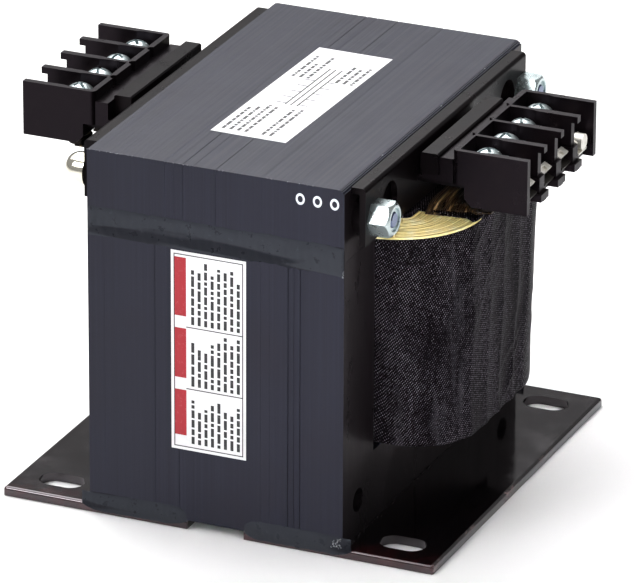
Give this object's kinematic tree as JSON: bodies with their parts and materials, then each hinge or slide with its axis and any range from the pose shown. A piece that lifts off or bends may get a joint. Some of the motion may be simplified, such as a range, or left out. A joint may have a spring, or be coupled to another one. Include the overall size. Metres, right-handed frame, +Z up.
{
  "type": "control transformer",
  "caption": "Open-frame control transformer: welded laminated core on slotted feet, taped coil, and a barrier terminal block with clamp screws at each end.",
  "frame": {"origin": "middle of the footprint, on the underside of the two feet", "axes": "+Z up, +X along the lamination stack towards the terminal block with the spring clips, +Y along the long side of the core, away from the face with the tall sticker"},
  "size_m": [0.1596, 0.1348, 0.1147],
  "materials": {
    "core_varnish": "dark blue-grey varnish over laminated steel, satin",
    "black_paint": "gloss black-brown paint on steel",
    "weld_varnish": "varnished weld bead, satin",
    "zinc": "bright zinc plating",
    "tinned_brass": "tin-plated brass",
    "block_plastic": "black-brown moulded phenolic",
    "glass_tape": "black varnished glass-cloth tape",
    "paper": "yellow insulation paper",
    "copper_winding": "varnished magnet wire",
    "lead_varnish": "brown varnished copper lead",
    "sticker": "printed white film"
  },
  "bodies": {
    "root": {"block_rail_left": "black_paint", "block_rail_right": "black_paint", "bolt_nut_back": "zinc", "bolt_nut_front": "zinc", "bracket_left": "black_paint", "bracket_right": "black_paint", "bracket_spacers": "black_paint", "clips_right": "tinned_brass", "coil_tube": "paper", "core_e_stack": "core_varnish", "core_i_stack": "core_varnish", "end_paper_bottom": "paper", "end_paper_top": "paper", "foot_left": "black_paint", "foot_right": "black_paint", "label_front": "sticker", "label_top": "sticker", "lead_left_1": "lead_varnish", "lead_left_2": "lead_varnish", "lead_left_3": "lead_varnish", "lead_left_4": "lead_varnish", "lead_pad_left": "glass_tape", "lead_pad_right": "glass_tape", "lead_right_1": "lead_varnish", "lead_right_2": "lead_varnish", "lead_right_3": "lead_varnish", "lead_right_4": "lead_varnish", "paper_wrap": "paper", "primary_winding": "copper_winding", "secondary_winding": "copper_winding", "tape_wrap": "glass_tape", "terminal_block_left": "block_plastic", "terminal_block_right": "block_plastic", "terminals_left": "tinned_brass", "terminals_right": "tinned_brass", "through_bolt_back": "zinc", "through_bolt_front": "zinc", "weld_foot_left": "weld_varnish", "weld_foot_right": "weld_varnish", "weld_yoke_back": "weld_varnish", "weld_yoke_front": "weld_varnish"},
    "clamp_left_1": {"clamp_left_1": "zinc"},
    "screw_left_1": {"screw_left_1": "zinc"},
    "clamp_left_2": {"clamp_left_2": "zinc"},
    "screw_left_2": {"screw_left_2": "zinc"},
    "clamp_left_3": {"clamp_left_3": "zinc"},
    "screw_left_3": {"screw_left_3": "zinc"},
    "clamp_left_4": {"clamp_left_4": "zinc"},
    "screw_left_4": {"screw_left_4": "zinc"},
    "clamp_right_1": {"clamp_right_1": "zinc"},
    "screw_right_1": {"screw_right_1": "zinc"},
    "clamp_right_2": {"clamp_right_2": "zinc"},
    "screw_right_2": {"screw_right_2": "zinc"},
    "clamp_right_3": {"clamp_right_3": "zinc"},
    "screw_right_3": {"screw_right_3": "zinc"},
    "clamp_right_4": {"clamp_right_4": "zinc"},
    "screw_right_4": {"screw_right_4": "zinc"}
  },
  "joints": [
    {"name": "clamp_left_1_lift", "type": "slide", "parent": "root", "child": "clamp_left_1", "axis": [0, 0, 1], "range_m": [0, 0.00397]},
    {"name": "screw_left_1_turn", "type": "hinge", "parent": "clamp_left_1", "child": "screw_left_1", "pos_m": [-0.0647, 0.0195, 0.11], "axis": [0, 0, 1], "range_deg": [0, 1800]},
    {"name": "clamp_left_2_lift", "type": "slide", "parent": "root", "child": "clamp_left_2", "axis": [0, 0, 1], "range_m": [0, 0.00397]},
    {"name": "screw_left_2_turn", "type": "hinge", "parent": "clamp_left_2", "child": "screw_left_2", "pos_m": [-0.0647, 0.0065, 0.11], "axis": [0, 0, 1], "range_deg": [0, 1800]},
    {"name": "clamp_left_3_lift", "type": "slide", "parent": "root", "child": "clamp_left_3", "axis": [0, 0, 1], "range_m": [0, 0.00397]},
    {"name": "screw_left_3_turn", "type": "hinge", "parent": "clamp_left_3", "child": "screw_left_3", "pos_m": [-0.0647, -0.0065, 0.11], "axis": [0, 0, 1], "range_deg": [0, 1800]},
    {"name": "clamp_left_4_lift", "type": "slide", "parent": "root", "child": "clamp_left_4", "axis": [0, 0, 1], "range_m": [0, 0.00397]},
    {"name": "screw_left_4_turn", "type": "hinge", "parent": "clamp_left_4", "child": "screw_left_4", "pos_m": [-0.0647, -0.0195, 0.11], "axis": [0, 0, 1], "range_deg": [0, 1800]},
    {"name": "clamp_right_1_lift", "type": "slide", "parent": "root", "child": "clamp_right_1", "axis": [0, 0, 1], "range_m": [0, 0.00397]},
    {"name": "screw_right_1_turn", "type": "hinge", "parent": "clamp_right_1", "child": "screw_right_1", "pos_m": [0.0647, -0.0195, 0.11], "axis": [0, 0, 1], "range_deg": [0, 1800]},
    {"name": "clamp_right_2_lift", "type": "slide", "parent": "root", "child": "clamp_right_2", "axis": [0, 0, 1], "range_m": [0, 0.00397]},
    {"name": "screw_right_2_turn", "type": "hinge", "parent": "clamp_right_2", "child": "screw_right_2", "pos_m": [0.0647, -0.0065, 0.11], "axis": [0, 0, 1], "range_deg": [0, 1800]},
    {"name": "clamp_right_3_lift", "type": "slide", "parent": "root", "child": "clamp_right_3", "axis": [0, 0, 1], "range_m": [0, 0.00397]},
    {"name": "screw_right_3_turn", "type": "hinge", "parent": "clamp_right_3", "child": "screw_right_3", "pos_m": [0.0647, 0.0065, 0.11], "axis": [0, 0, 1], "range_deg": [0, 1800]},
    {"name": "clamp_right_4_lift", "type": "slide", "parent": "root", "child": "clamp_right_4", "axis": [0, 0, 1], "range_m": [0, 0.00397]},
    {"name": "screw_right_4_turn", "type": "hinge", "parent": "clamp_right_4", "child": "screw_right_4", "pos_m": [0.0647, 0.0195, 0.11], "axis": [0, 0, 1], "range_deg": [0, 1800]}
  ],
  "couplings": [
    {"joint": "screw_left_1_turn", "follows": "clamp_left_1_lift", "rad_per_m": 7915.8},
    {"joint": "screw_left_2_turn", "follows": "clamp_left_2_lift", "rad_per_m": 7915.8},
    {"joint": "screw_left_3_turn", "follows": "clamp_left_3_lift", "rad_per_m": 7915.8},
    {"joint": "screw_left_4_turn", "follows": "clamp_left_4_lift", "rad_per_m": 7915.8},
    {"joint": "screw_right_1_turn", "follows": "clamp_right_1_lift", "rad_per_m": 7915.8},
    {"joint": "screw_right_2_turn", "follows": "clamp_right_2_lift", "rad_per_m": 7915.8},
    {"joint": "screw_right_3_turn", "follows": "clamp_right_3_lift", "rad_per_m": 7915.8},
    {"joint": "screw_right_4_turn", "follows": "clamp_right_4_lift", "rad_per_m": 7915.8}
  ]
}
